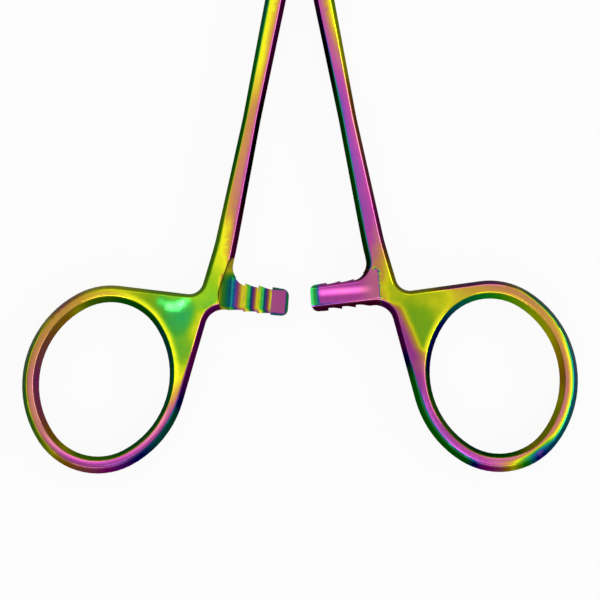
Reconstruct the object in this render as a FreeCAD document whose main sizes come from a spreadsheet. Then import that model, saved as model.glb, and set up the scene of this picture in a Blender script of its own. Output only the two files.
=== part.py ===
import FreeCAD, Part
import math
import os
import re
import Sketcher

# Hemostat forceps: two crossed halves that turn on one pivot pin in a box lock.
# Millimetres. The origin is on the pivot axis at the underside of the lock, the jaws
# point along +Y and the finger rings along -Y. Each half is drawn as it lies when the
# forceps are closed, and is then turned about the pivot by half the resting opening.
# "Out" is the distance from the centreline towards the ring side of the half, and
# "down" is the distance from the pivot towards the rings.

DRIVING_SIZES = {
    # The forging as a whole
    "lock_thickness": 4.6,
    "shank_thickness": 3.3,
    "ring_thickness": 3.9,
    "jaw_tip_thickness": 1.7,
    "draft_angle": 20.0,
    "ridge_radius": 0.6,
    "hole_chamfer": 0.4,
    "profile_radius": 30.0,
    "rest_turn": 4.4,
    "facing_gap": 0.06,
    # Finger ring: an oval of two side arcs and two end arcs
    "ring_out": 24.06,
    "box_ring_down": 75.4,
    "tongue_ring_down": 74.9,
    "box_ring_tilt": 9.8,
    "tongue_ring_tilt": 5.3,
    "ring_half_width": 9.85,
    "ring_half_height": 11.9,
    "ring_end_radius": 8.2,
    "box_ring_band": 2.6,
    "tongue_ring_band": 2.8,
    # Shank, at stations down from the pivot or up from the top of the finger hole
    "waist_down": 8.4,
    "waist_out": 3.6,
    "waist_radius": 12.0,
    "crotch_down": 12.5,
    "crotch_out": 0.74,
    "crotch_radius": 4.0,
    "upper_down": 16.5,
    "upper_outer": 4.42,
    "middle_down": 33.5,
    "middle_outer": 6.2,
    "middle_inner": 3.42,
    "lower_rise": 10.0,
    "lower_outer": 8.95,
    "lower_inner": 5.5,
    "shank_bow_radius": 60.0,
    "ring_rise_down": 46.9,
    "lower_bow_radius": 30.0,
    "ring_root_out": 10.65,
    "ring_root_rise": 2.0,
    "ring_root_radius": 2.2,
    # Ratchet arm, its upper edge given up from the top of the finger hole
    "arm_root_out": 6.2,
    "arm_root_rise": 0.6,
    "arm_root_radius": 2.4,
    "box_arm_rise": 4.0,
    "tongue_arm_rise": 4.15,
    "arm_heel_rise": 0.45,
    "arm_width": 4.25,
    "arm_reach": 3.0,
    "arm_tip_radius": 1.1,
    "arm_tip_ease": 0.05,
    "arm_tip_length": 1.65,
    "web_corner_out": 8.9,
    "web_corner_radius": 2.8,
    # Ratchet: the arms pass each other, so each keeps only half the thickness
    "arm_gap": 0.1,
    "recess_top_out": 6.45,
    "recess_top_rise": 4.2,
    "recess_out": 7.95,
    "recess_drop": 1.8,
    "recess_radius": 3.0,
    "end_block_length": 2.6,
    "tooth_pitch": 2.1,
    "tooth_depth": 0.8,
    "tooth_floor_length": 0.75,
    "tooth_root_radius": 2.1,
    "tooth_count": 3,
    # Box lock
    "lock_half_width": 4.3,
    "lock_half_straight": 2.6,
    "lock_corner_radius": 3.0,
    "shoulder_reach": 4.6,
    "seam_gap": 0.05,
    "seam_angle": 43.0,
    "tongue_half_width": 3.0,
    "tongue_thickness": 1.6,
    "opening_sweep": 50.0,
    "pin_diameter": 2.4,
    "pin_gap": 0.05,
    "pin_edge": 0.12,
    # Jaws
    "jaw_reach": 36.5,
    "jaw_root_up": 9.0,
    "jaw_root_width": 2.3,
    "jaw_tip_width": 1.05,
    "serration_length": 22.0,
    "serration_pitch": 0.7,
    "serration_depth": 0.22,
    "serration_half_width": 0.28,
    # Stock left past the faces that are cut afterwards
    "cutting_stock": 1.9,
    "stock_radius": 1.4,
}

# The box half has its ring on the left, and the tongue half on the right
LEFT, RIGHT = -1, 1
TO_FRONT, TO_BACK = 1, -1

# Longer than the forceps any way, for cuts that run right through
THROUGH = "box_ring_down * 3"
# Past the edge of the lock at every angle of its seams
PAST_LOCK = "(lock_half_width + shoulder_reach)"
PAST_JAWS = "(jaw_reach + cutting_stock * 3)"
# Faces that meet at less than this are already smooth, in degrees
SMOOTH_ANGLE = 10
# A face leans less than this from the plane of the forceps, as a cosine
NEARLY_FLAT = 0.8
# Edges closer than this to the middle plane lie on the parting line
PARTING_WIDTH = 0.001

doc = FreeCAD.newDocument("hemostat_forceps")
sizes = doc.addObject("Spreadsheet::Sheet", "sizes")
for row, (alias, size) in enumerate(DRIVING_SIZES.items(), start=1):
    sizes.set(f"A{row}", alias)
    sizes.set(f"B{row}", str(size))
    sizes.setAlias(f"B{row}", alias)
doc.recompute()


def value(formula):
    """Number that a formula over the sheet's names gives."""
    result = sizes.evalExpression(formula)
    return float(getattr(result, "Value", result))


def bound(formula):
    """The same formula as an object outside the sheet has to write it."""
    return re.sub(r"[a-z_]+", lambda word: "sizes." + word[0]
                  if word[0] in DRIVING_SIZES else word[0], formula)


def point(across, along):
    """Place of two formulas as a vector of the sketch."""
    return FreeCAD.Vector(value(across), value(along), 0)


class Outline:
    """A sketch of lines and arcs that meet tangentially, tied to the sheet."""

    START, END, CENTRE = 1, 2, 3

    def __init__(self, body, name, plane="XY_Plane", height="0"):
        self.sketch = body.newObject("Sketcher::SketchObject", name)
        role = next(f for f in body.Origin.OriginFeatures if f.Role == plane)
        self.sketch.AttachmentSupport = [(role, "")]
        self.sketch.MapMode = "FlatFace"
        self.sketch.setExpression("AttachmentOffset.Base.z", bound(height))
        self.constraints = []
        self.formulas = {}

    def limit(self, kind, *where, formula=None):
        """Add a constraint, tied to a formula where one is given."""
        if formula is not None:
            self.formulas[len(self.constraints)] = bound(formula)
            where = (*where, value(formula))
        self.constraints.append(Sketcher.Constraint(kind, *where))

    def place(self, geometry, end, across, along):
        """Fix a point at the place that two formulas give."""
        self.limit("DistanceX", geometry, end, formula=across)
        self.limit("DistanceY", geometry, end, formula=along)

    def line(self, start, end):
        """Line piece, as its number with its entry and its exit."""
        number = self.sketch.addGeometry(Part.LineSegment(start, end), False)
        return number, self.START, self.END

    def arc(self, centre, start, end, leftward):
        """Arc piece from start to end, which turns left or right."""
        first, last = (start, end) if leftward else (end, start)
        angles = [math.atan2(p.y - centre.y, p.x - centre.x) for p in (first, last)]
        if angles[1] < angles[0]:
            angles[1] += 2 * math.pi
        circle = Part.Circle(centre, FreeCAD.Vector(0, 0, 1), centre.distanceToPoint(first))
        number = self.sketch.addGeometry(Part.ArcOfCircle(circle, *angles), False)
        return (number, self.START, self.END) if leftward else (number, self.END, self.START)

    def join(self, before, after):
        """Let one piece run smoothly into the next."""
        self.limit("Tangent", before[0], before[2], after[0], after[1])

    def circle(self, across, along, radius):
        """Full circle of a given radius about a given place."""
        circle = Part.Circle(point(across, along), FreeCAD.Vector(0, 0, 1), value(radius))
        number = self.sketch.addGeometry(circle, False)
        self.place(number, self.CENTRE, across, along)
        self.limit("Radius", number, formula=radius)

    def trace(self, corners, first=None, last=None):
        """Lines past corners, each rounded by its radius or sharp where it has none.

        Each corner is three formulas: across, along and radius. Without a first and
        a last point the outline is closed. The pieces come back in order.
        """
        spots = [point(c[0], c[1]) for c in corners]
        closed = first is None
        stops = [spots[-1], *spots, spots[0]] if closed else [first, *spots, last]
        bends = []
        for index, corner in enumerate(corners, start=1):
            spot = stops[index]
            if corner[2] is None:
                bends.append((None, spot, spot, None))
                continue
            back = (stops[index - 1] - spot).normalize()
            ahead = (stops[index + 1] - spot).normalize()
            half = back.getAngle(ahead) / 2
            centre = spot + (back + ahead).normalize() * (value(corner[2]) / math.sin(half))
            run = value(corner[2]) / math.tan(half)
            bends.append((centre, spot + back * run, spot + ahead * run,
                          back.cross(ahead).z < 0))
        lines = [self.line(bends[-1][2] if closed else first, bends[0][1])]
        pieces = [lines[0]]
        for index, (centre, start, end, leftward) in enumerate(bends):
            if centre is not None:
                pieces.append(self.arc(centre, start, end, leftward))
            if index + 1 < len(bends):
                lines.append(self.line(end, bends[index + 1][1]))
                pieces.append(lines[-1])
            elif not closed:
                lines.append(self.line(end, last))
                pieces.append(lines[-1])
        if closed:
            lines.append(lines[0])
        after_bend = iter(pieces[1:] + pieces[:1])
        before = pieces[0]
        for index, corner in enumerate(corners):
            if corner[2] is None:
                following = next(after_bend)
                self.limit("Coincident", before[0], before[2], following[0], following[1])
                self.place(before[0], before[2], corner[0], corner[1])
            else:
                bend = next(after_bend)
                following = next(after_bend)
                self.join(before, bend)
                self.join(bend, following)
                spot = self.sketch.addGeometry(Part.Point(spots[index]), True)
                self.place(spot, self.START, corner[0], corner[1])
                self.limit("PointOnObject", spot, self.START, before[0])
                self.limit("PointOnObject", spot, self.START, following[0])
                self.limit("Radius", bend[0], formula=corner[2])
            before = following
        return pieces

    def finish(self):
        """Hand the constraints over, tie them to the sheet and solve."""
        self.sketch.addConstraint(self.constraints)
        for index, formula in self.formulas.items():
            self.sketch.setExpression(f"Constraints[{index}]", formula)
        return self.sketch


def tangent_point(corner, centre, radius, leftward):
    """Where the line from a corner touches a circle, on its left or its right."""
    away = corner - centre
    swing = math.acos(radius / away.Length) * (1 if leftward else -1)
    aim = math.atan2(away.y, away.x) + swing
    return centre + FreeCAD.Vector(math.cos(aim), math.sin(aim), 0) * radius


def name_of(side):
    """Word that the sheet uses for a half."""
    return "box" if side == LEFT else "tongue"


def hole_top(half):
    """How far down from the pivot a half's finger hole begins."""
    return f"({half}_ring_down - ring_half_height)"


def arm_down(half):
    """How far down from the pivot the arm's upper edge lies at its tip."""
    return f"({hole_top(half)} - {half}_arm_rise)"


def side_profile(body):
    """What is milled off above and below, seen from the side."""
    draw = Outline(body, "side_profile", plane="YZ_Plane")
    for up in ("1", "-1"):
        def height(thickness):
            return f"lock_thickness / 2 + {up} * ({thickness}) / 2"
        beyond = "(box_ring_down + ring_half_height + box_ring_band + cutting_stock * 2)"
        over = height("lock_thickness * 2")
        corners = [
            (f"-{beyond}", over, "stock_radius"),
            (f"-{beyond}", height("ring_thickness"), "stock_radius"),
            (f"ring_root_rise - {hole_top('box')}", height("ring_thickness"), "profile_radius"),
            ("-ring_rise_down", height("shank_thickness"), "profile_radius"),
            ("-upper_down", height("shank_thickness"), "profile_radius"),
            ("-lock_half_straight - cutting_stock", height("lock_thickness"), "waist_radius"),
            ("lock_half_straight + cutting_stock", height("lock_thickness"), "waist_radius"),
            ("jaw_reach", height("jaw_tip_thickness"), "profile_radius"),
            ("jaw_reach + cutting_stock * 2", height("jaw_tip_thickness"), "stock_radius"),
            ("jaw_reach + cutting_stock * 2", over, "stock_radius"),
        ]
        draw.trace(corners)
    return draw.finish()


def upper_edge(half, out):
    """Height of the arm's upper edge, which rises from the tip to the root."""
    return (f"(arm_root_rise * ({out} + arm_reach) / (arm_root_out + arm_reach)"
            f" - {arm_down(half)})")


def lower_edge(half, out):
    """Height of the arm's lower edge, which rises from the tip to the web."""
    return (f"(arm_heel_rise * ({out} + arm_reach) / (web_corner_out + arm_reach)"
            f" - {arm_down(half)} - arm_width)")


class RingOval:
    """Finger ring of one half: its arcs' centres, and where they meet."""

    SIDE_RADIUS = ("(ring_half_width ^ 2 + ring_half_height ^ 2"
                   " - 2 * ring_half_height * ring_end_radius)"
                   " / (2 * (ring_half_width - ring_end_radius))")

    def __init__(self, side):
        self.side = side
        half = name_of(side)
        self.tilt, self.down = f"{half}_ring_tilt", f"{half}_ring_down"
        self.band = value(f"{half}_ring_band")
        shift = f"({self.SIDE_RADIUS} - ring_half_width)"
        rise = "(ring_half_height - ring_end_radius)"
        self.centres = {"top": self.place("0", rise), "outer": self.place(f"-{shift}", "0"),
                        "bottom": self.place("0", f"-{rise}"), "inner": self.place(shift, "0")}
        self.spots = {name: point(*centre) for name, centre in self.centres.items()}

    def place(self, across, up):
        """Place on the ring's own tilted axes as two formulas."""
        return (f"{self.side} * (ring_out + {across} * cos({self.tilt}) - {up} * sin({self.tilt}))",
                f"-{self.down} + {across} * sin({self.tilt}) + {up} * cos({self.tilt})")

    def touch(self, end, flank, growth=0):
        """Where an end arc of the oval meets a side arc."""
        away = (self.spots[end] - self.spots[flank]).normalize()
        return self.spots[end] + away * (value("ring_end_radius") + growth)


def ring_hole(body, side):
    """Oval hole for a finger: two end arcs and two flatter side arcs."""
    draw = Outline(body, "ring_hole", height="lock_thickness / 2")
    oval = RingOval(side)
    names = ["top", "outer", "bottom", "inner"]
    meets = [oval.touch("top", "outer"), oval.touch("bottom", "outer"),
             oval.touch("bottom", "inner"), oval.touch("top", "inner")]
    hole = [draw.arc(oval.spots[name], meets[index - 1], meets[index], side == LEFT)
            for index, name in enumerate(names)]
    for index in range(4):
        draw.join(hole[index - 1], hole[index])
    draw.limit("Equal", hole[0][0], hole[2][0])
    draw.limit("Equal", hole[1][0], hole[3][0])
    draw.place(hole[0][0], draw.CENTRE, *oval.centres["top"])
    draw.place(hole[2][0], draw.CENTRE, *oval.centres["bottom"])
    draw.limit("Radius", hole[0][0], formula="ring_end_radius")
    draw.limit("Radius", hole[1][0], formula=oval.SIDE_RADIUS)
    return draw.finish()


def blank_outline(body, side):
    """Plan of one forging: jaw, lock, shank, ratchet arm and the rim of the ring."""
    draw = Outline(body, "blank_outline", height="lock_thickness / 2")
    oval = RingOval(side)
    half = name_of(side)
    leftward = side == LEFT
    lower = f"lower_rise - {hole_top(half)}"

    def out(formula):
        return f"{side} * ({formula})"

    corners = [
        (out("web_corner_out"), lower_edge(half, "web_corner_out"), "web_corner_radius"),
        (out("-arm_reach - cutting_stock"), lower_edge(half, "-arm_reach - cutting_stock"),
         "stock_radius"),
        (out("-arm_reach - cutting_stock"), upper_edge(half, "-arm_reach - cutting_stock"),
         "stock_radius"),
        (out("arm_root_out"), upper_edge(half, "arm_root_out"), "arm_root_radius"),
        (out("lower_inner"), lower, "shank_bow_radius"),
        (out("middle_inner"), "-middle_down", "shank_bow_radius"),
        (out("crotch_out"), "-crotch_down", "crotch_radius"),
        (out("-cutting_stock"), "-waist_down - cutting_stock", "stock_radius"),
        (out("-cutting_stock"), "-waist_down", "stock_radius"),
        (out("-lock_half_width"), "-lock_half_straight - cutting_stock", "stock_radius"),
        (out("-lock_half_width"), "lock_half_straight", "lock_corner_radius"),
        (out("-jaw_root_width"), "jaw_root_up", "waist_radius"),
        (out("-jaw_tip_width"), "jaw_reach", "stock_radius"),
        (out("cutting_stock"), "jaw_reach", "stock_radius"),
        (out("cutting_stock"), "waist_down", "stock_radius"),
        (out("lock_half_width"), "lock_half_straight + cutting_stock", "stock_radius"),
        (out("lock_half_width"), "-lock_half_straight", "lock_corner_radius"),
        (out("waist_out"), "-waist_down", "waist_radius"),
        (out("upper_outer"), "-upper_down", "shank_bow_radius"),
        (out("middle_outer"), "-middle_down", "shank_bow_radius"),
        (out("lower_outer"), lower, "lower_bow_radius"),
        (out("ring_root_out"), f"ring_root_rise - {hole_top(half)}", "ring_root_radius"),
    ]
    end_radius = value("ring_end_radius") + oval.band
    flank_radius = value(oval.SIDE_RADIUS) + oval.band
    leave = tangent_point(point(*corners[0][:2]), oval.spots["inner"], flank_radius, not leftward)
    arrive = tangent_point(point(*corners[-1][:2]), oval.spots["top"], end_radius, leftward)
    pieces = draw.trace(corners, first=leave, last=arrive)
    marks = [arrive, oval.touch("top", "outer", oval.band),
             oval.touch("bottom", "outer", oval.band),
             oval.touch("bottom", "inner", oval.band), leave]
    rim = ["top", "outer", "bottom", "inner"]
    ring = [draw.arc(oval.spots[name], marks[index], marks[index + 1], leftward)
            for index, name in enumerate(rim)]
    for before, after in zip([pieces[-1], *ring], [*ring, pieces[0]]):
        draw.join(before, after)
    for name, arc in zip(rim, ring):
        draw.place(arc[0], draw.CENTRE, *oval.centres[name])
    draw.limit("Radius", ring[2][0], formula=f"ring_end_radius + {half}_ring_band")
    return draw.finish()


def pocket(body, sketch, depth=None, down=True, through=False):
    """Cut a sketch into a body, one way by a depth or both ways right through."""
    cut = body.newObject("PartDesign::Pocket", sketch.Name + "_cut")
    cut.Profile = sketch
    if through:
        cut.SideType = "Symmetric"
        cut.setExpression("Length", bound(through))
    else:
        cut.Reversed = not down
        cut.setExpression("Length", bound(depth))
    return cut


def ridge_edges(shape):
    """Names of the sharp edges of the upper and lower faces."""
    faces = {}
    for face in shape.Faces:
        for edge in face.Edges:
            faces.setdefault(edge.hashCode(), []).append(face)
    middle = value("lock_thickness / 2")
    names = []
    for index, edge in enumerate(shape.Edges, start=1):
        pair = faces[edge.hashCode()]
        spot = edge.valueAt((edge.FirstParameter + edge.LastParameter) / 2)
        normals = [face.normalAt(*face.Surface.parameter(spot)) for face in pair]
        if len(pair) != 2 or math.degrees(normals[0].getAngle(normals[1])) < SMOOTH_ANGLE:
            continue
        flat = max(abs(normal.z) for normal in normals) > NEARLY_FLAT
        if flat and abs(spot.z - middle) > PARTING_WIDTH:
            names.append(f"Edge{index}")
    return names


def eased(body, kind, name, base, measure, formula):
    """Fillet or chamfer the ridges that are still sharp."""
    doc.recompute()
    feature = body.newObject(kind, name)
    feature.Base = (base, ridge_edges(base.Shape))
    feature.setExpression(measure, bound(formula))
    return feature


def drafted(body, kind, name, sketch, draft):
    """Pad or pocket both ways from the parting plane, with walls that lean by the draft."""
    feature = body.newObject(kind, name)
    feature.Profile = sketch
    feature.SideType = "Two sides"
    for way in ("", "2"):
        feature.setExpression("Length" + way, bound("lock_thickness / 2"))
        feature.setExpression("TaperAngle" + way, bound(draft))
    return feature


def forging(name, side):
    """Drafted blank of one half, thinned to its side profile, with its finger hole."""
    body = doc.addObject("PartDesign::Body", name)
    body.Label = name
    drafted(body, "PartDesign::Pad", "blank", blank_outline(body, side), "-draft_angle")
    thinned = pocket(body, side_profile(body), through=THROUGH)
    eased(body, "PartDesign::Fillet", "ridge_fillet", thinned, "Radius", "ridge_radius")
    hole = drafted(body, "PartDesign::Pocket", "finger_hole", ring_hole(body, side),
                   "draft_angle")
    eased(body, "PartDesign::Chamfer", "hole_chamfer", hole, "Size", "hole_chamfer")
    return body


def cut_arm_tip(body, side):
    """End the ratchet arm square with two rounded corners."""
    draw = Outline(body, "arm_tip")
    half = name_of(side)
    beyond = "(arm_reach + cutting_stock * 3)"
    back = "(arm_reach - arm_tip_length)"
    above, below = (f"arm_width - {arm_down(half)}", f"-{arm_down(half)} - arm_width * 2")
    edges = [(f"{upper_edge(half, out)} - arm_tip_ease", f"{lower_edge(half, out)} + arm_tip_ease")
             for out in (f"-{back}", "-arm_reach")]
    corners = [(f"{side} * -{beyond}", above, None),
               (f"{side} * -{back}", above, None),
               (f"{side} * -{back}", edges[0][0], None),
               (f"{side} * -arm_reach", edges[1][0], "arm_tip_radius"),
               (f"{side} * -arm_reach", edges[1][1], "arm_tip_radius"),
               (f"{side} * -{back}", edges[0][1], None),
               (f"{side} * -{back}", below, None),
               (f"{side} * -{beyond}", below, None)]
    draw.trace(corners)
    pocket(body, draw.finish(), through=THROUGH)


def mill_arm(body, side, facing):
    """Mill the facing half of the thickness away, up to a curved wall at the root."""
    draw = Outline(body, "arm_relief", height=f"lock_thickness / 2 - {facing} * arm_gap / 2")
    beyond = "(arm_reach + cutting_stock)"
    edge = arm_down(name_of(side))
    high = f"recess_top_rise - {edge}"
    low = f"-({edge} + arm_width + cutting_stock)"
    corners = [(f"{side} * -{beyond}", high, None),
               (f"{side} * recess_top_out", high, "arm_tip_radius"),
               (f"{side} * recess_out", f"-({edge} + recess_drop)", "recess_radius"),
               (f"{side} * recess_top_out", low, None),
               (f"{side} * -{beyond}", low, None)]
    draw.trace(corners)
    pocket(body, draw.finish(), depth="lock_thickness", down=facing < 0)


def cut_teeth(body, side, facing):
    """One saw tooth gap with a steep wall that faces the root, repeated along the arm."""
    draw = Outline(body, "tooth_gap", plane="XZ_Plane",
                   height=f"{arm_down(name_of(side))} + (arm_width - arm_heel_rise) / 2")
    wall = "(-arm_reach + end_block_length)"
    crest = f"lock_thickness / 2 - {facing} * arm_gap / 2"
    over = f"lock_thickness / 2 + {facing} * tooth_depth / 2"
    floor = f"{crest} - {facing} * tooth_depth"
    corners = [(f"{side} * {wall}", over, None),
               (f"{side} * {wall}", floor, None),
               (f"{side} * ({wall} + tooth_floor_length)", floor, "tooth_root_radius"),
               (f"{side} * ({wall} + tooth_pitch)", crest, None),
               (f"{side} * ({wall} + tooth_pitch)", over, None)]
    draw.trace(corners)
    gap = pocket(body, draw.finish(), through="arm_width + cutting_stock")
    row = body.newObject("PartDesign::LinearPattern", "teeth")
    row.Originals = [gap]
    row.Direction = (next(f for f in body.Origin.OriginFeatures if f.Role == "X_Axis"), [""])
    row.Reversed = side < 0
    row.setExpression("Length", bound("tooth_pitch * (tooth_count - 1)"))
    row.setExpression("Occurrences", bound("tooth_count"))
    body.Tip = row


def turned(angle, reach, across=1, along=1):
    """Formulas for the place at a reach from the pivot in a direction."""
    return f"{across} * ({reach}) * cos({angle})", f"{along} * ({reach}) * sin({angle})"


def cut_seams(body, side):
    """Part the box half from the other half along the seams and the closed jaws."""
    reach = "(shoulder_reach - seam_gap)"
    meet = f"(({reach} + facing_gap / 2 * cos(seam_angle)) / sin(seam_angle))"
    for way in (1, -1):
        draw = Outline(body, "seam")
        corners = [("-facing_gap / 2", PAST_JAWS, None),
                   ("-facing_gap / 2", meet, None),
                   (reach, f"{reach} * tan(seam_angle / 2)", reach),
                   (reach, "-seam_gap", None),
                   (PAST_JAWS, "-seam_gap", None),
                   (PAST_JAWS, PAST_JAWS, None)]
        draw.trace([(f"{side * way} * ({across})", f"{way} * ({along})", radius)
                    for across, along, radius in corners])
        pocket(body, draw.finish(), through=THROUGH)


def cut_slot(body, side):
    """Slot through the box, opened like a bow tie for the swing of the tongue."""
    draw = Outline(body, "slot", height="lock_thickness / 2 + tongue_thickness / 2 + seam_gap")
    half_sweep = "opening_sweep / 2"
    apex = f"((tongue_half_width + seam_gap) / cos({half_sweep}))"
    centre = f"(seam_angle + 90 - {half_sweep})"
    corners = []
    for way in (1, -1):
        top = turned(centre, apex, way, way)
        right = turned("seam_angle", PAST_LOCK, way, way)
        left = turned("(seam_angle + 180 - opening_sweep)", PAST_LOCK, way, way)
        corners += [(f"{top[0]} + {left[0]}", f"{top[1]} + {left[1]}", None),
                    (*top, None),
                    (f"{top[0]} + {right[0]}", f"{top[1]} + {right[1]}", None)]
    draw.trace([(f"{side} * ({across})", along, None) for across, along, _ in corners])
    pocket(body, draw.finish(), depth="tongue_thickness + 2 * seam_gap")


def cut_tongue(body, side):
    """Leave a thin tongue between two shoulders where the box half passes."""
    across_seam = "(180 - seam_angle)"
    along_seam = "(90 - seam_angle)"
    meet = "((shoulder_reach - facing_gap / 2 * cos(seam_angle)) / sin(seam_angle))"
    for way in (1, -1):
        draw = Outline(body, "tongue_side")
        shoulder = turned(across_seam, "shoulder_reach")
        edge = turned(along_seam, "tongue_half_width")
        slide = turned("(360 - seam_angle)", PAST_LOCK)
        corner = (f"{shoulder[0]} + {edge[0]}", f"{shoulder[1]} + {edge[1]}")
        corners = [("-facing_gap / 2", PAST_JAWS, None),
                   ("-facing_gap / 2", meet, None),
                   (*corner, None),
                   (f"{corner[0]} + {slide[0]}", f"{corner[1]} + {slide[1]}", None),
                   (PAST_JAWS, f"{corner[1]} + {slide[1]}", None),
                   (PAST_JAWS, PAST_JAWS, None)]
        draw.trace([(f"{side * way} * ({across})", f"{way} * ({along})", radius)
                    for across, along, radius in corners])
        pocket(body, draw.finish(), through=THROUGH)
    for up in (1, -1):
        draw = Outline(body, "plate_seat",
                       height=f"lock_thickness / 2 + {up} * tongue_thickness / 2")
        corners = []
        for across, along in ((1, 1), (1, -1), (-1, -1), (-1, 1)):
            reach = turned(across_seam, f"{across} * shoulder_reach")
            width = turned(along_seam, f"{along} * {PAST_LOCK}")
            corners.append((f"{side} * ({reach[0]} + {width[0]})",
                            f"{reach[1]} + {width[1]}", None))
        draw.trace(corners)
        pocket(body, draw.finish(), depth="lock_thickness", down=up < 0)


def bore(body, radius):
    """Hole for the pivot pin."""
    draw = Outline(body, "pin_bore")
    draw.circle("0", "0", radius)
    pocket(body, draw.finish(), through=THROUGH)


def serrate_jaw(body, side, offset):
    """One fine notch across the gripping face, repeated along the jaw."""
    draw = Outline(body, "notch")
    face = f"{side} * -facing_gap / 2"
    start = f"jaw_reach - serration_length + {offset} * serration_pitch"
    corners = [(f"{side} * facing_gap", f"{start} - serration_half_width", None),
               (face, f"{start} - serration_half_width", None),
               (f"{face} - {side} * serration_depth", start, None),
               (face, f"{start} + serration_half_width", None),
               (f"{side} * facing_gap", f"{start} + serration_half_width", None)]
    draw.trace(corners)
    notch = pocket(body, draw.finish(), through=THROUGH)
    row = body.newObject("PartDesign::LinearPattern", "serrations")
    row.Originals = [notch]
    row.Direction = (next(f for f in body.Origin.OriginFeatures if f.Role == "Y_Axis"), [""])
    row.setExpression("Length", bound("serration_length - serration_pitch * 2"))
    row.setExpression("Occurrences", bound("floor(serration_length / serration_pitch) - 1"))
    body.Tip = row


def turn_to_rest(body, side):
    """Turn a closed half about the pivot by half the resting opening."""
    upright = FreeCAD.Vector(0, 0, 1)
    body.Placement = FreeCAD.Placement(FreeCAD.Vector(), FreeCAD.Rotation(upright, 1))
    body.setExpression("Placement.Rotation.Angle", bound(f"{side} * rest_turn"))


def pivot_pin():
    """Turned pin, pressed into both plates of the box and polished flush."""
    body = doc.addObject("PartDesign::Body", "pivot_pin")
    body.Label = "pivot_pin"
    draw = Outline(body, "pin_profile", plane="XZ_Plane")
    radius = "pin_diameter / 2"
    draw.trace([("0", "0", None),
                (f"{radius} - pin_edge", "0", None),
                (radius, "pin_edge", None),
                (radius, "lock_thickness - pin_edge", None),
                (f"{radius} - pin_edge", "lock_thickness", None),
                ("0", "lock_thickness", None)])
    turning = body.newObject("PartDesign::Revolution", "turned_pin")
    turning.Profile = draw.finish()
    turning.ReferenceAxis = (turning.Profile[0], ["V_Axis"])
    turning.Angle = 360
    return body


def check(bodies):
    """Stop if any object failed or any sub-part isn't one sound solid."""
    for item in doc.Objects:
        if {"Invalid", "Error"} & set(item.State):
            raise RuntimeError(f"{item.Name} failed: {item.State}")
    for body in bodies:
        if body.Shape.isNull() or not body.Shape.isValid() or len(body.Shape.Solids) != 1:
            raise RuntimeError(f"{body.Label} is not one sound solid")


female = forging("female_half", LEFT)
cut_arm_tip(female, LEFT)
mill_arm(female, LEFT, TO_FRONT)
cut_teeth(female, LEFT, TO_FRONT)
cut_seams(female, LEFT)
cut_slot(female, LEFT)
bore(female, "pin_diameter / 2")
serrate_jaw(female, LEFT, 0)
turn_to_rest(female, LEFT)

male = forging("male_half", RIGHT)
cut_arm_tip(male, RIGHT)
mill_arm(male, RIGHT, TO_BACK)
cut_teeth(male, RIGHT, TO_BACK)
cut_tongue(male, RIGHT)
bore(male, "pin_diameter / 2 + pin_gap")
serrate_jaw(male, RIGHT, 0.5)
turn_to_rest(male, RIGHT)

pin = pivot_pin()
doc.recompute()
check([female, male, pin])
os.makedirs("parts", exist_ok=True)
for body in (female, male, pin):
    body.Shape.exportStep(f"parts/{body.Label}.step")
    print(body.Label, round(body.Shape.Volume, 1), "mm3", len(body.Shape.Faces), "faces")
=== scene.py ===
"""Hemostat forceps in mirror-polished steel with a rainbow coating.

Both halves are the forged solids themselves, cut into finer cells so that the coating
can change colour along them, and so can the shade and highlights painted into it, with
a shallow dish polished into each web.
Places on a half are in mm outwards and down from the pivot, as it lies when closed.
"""
import logging
import math
from dataclasses import dataclass, field
from enum import Enum
from typing import Any, Callable, Sequence

import bmesh
import bpy
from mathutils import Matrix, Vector


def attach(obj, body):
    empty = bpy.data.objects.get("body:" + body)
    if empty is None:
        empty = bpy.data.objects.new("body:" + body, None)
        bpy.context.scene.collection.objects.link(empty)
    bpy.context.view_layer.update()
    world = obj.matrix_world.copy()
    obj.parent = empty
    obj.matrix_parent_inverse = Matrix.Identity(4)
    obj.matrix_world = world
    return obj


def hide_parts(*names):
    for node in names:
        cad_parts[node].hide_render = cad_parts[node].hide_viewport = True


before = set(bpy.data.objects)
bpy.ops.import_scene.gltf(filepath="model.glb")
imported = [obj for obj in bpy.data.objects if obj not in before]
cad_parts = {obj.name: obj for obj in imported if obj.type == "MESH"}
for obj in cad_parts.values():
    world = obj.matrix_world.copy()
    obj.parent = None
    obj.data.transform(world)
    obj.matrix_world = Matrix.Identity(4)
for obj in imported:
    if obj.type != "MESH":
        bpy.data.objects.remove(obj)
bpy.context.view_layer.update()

MM = 0.001

log = logging.getLogger("hemostat")


def linear(hex_code: str) -> tuple[float, float, float, float]:
    """Turn an sRGB hex colour into linear values.

    Args:
        hex_code: Colour such as "#C8A040".

    Returns:
        Red, green, blue and a full alpha, linear.
    """
    channels = [int(hex_code[place:place + 2], 16) / 255 for place in (1, 3, 5)]
    bent = [c / 12.92 if c <= 0.04045 else ((c + 0.055) / 1.055) ** 2.4 for c in channels]
    return bent[0], bent[1], bent[2], 1.0


def mix(start: float, end: float, share: float) -> float:
    """Value between two others."""
    return start + (end - start) * share


def ease(value: float, low: float, high: float) -> float:
    """Smooth step from 0 at low to 1 at high.

    Args:
        value: Where the step is read.
        low: Where it leaves 0.
        high: Where it reaches 1; it may lie below low.

    Returns:
        A share between 0 and 1.
    """
    share = min(1.0, max(0.0, (value - low) / (high - low)))
    return share * share * (3 - 2 * share)


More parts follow.
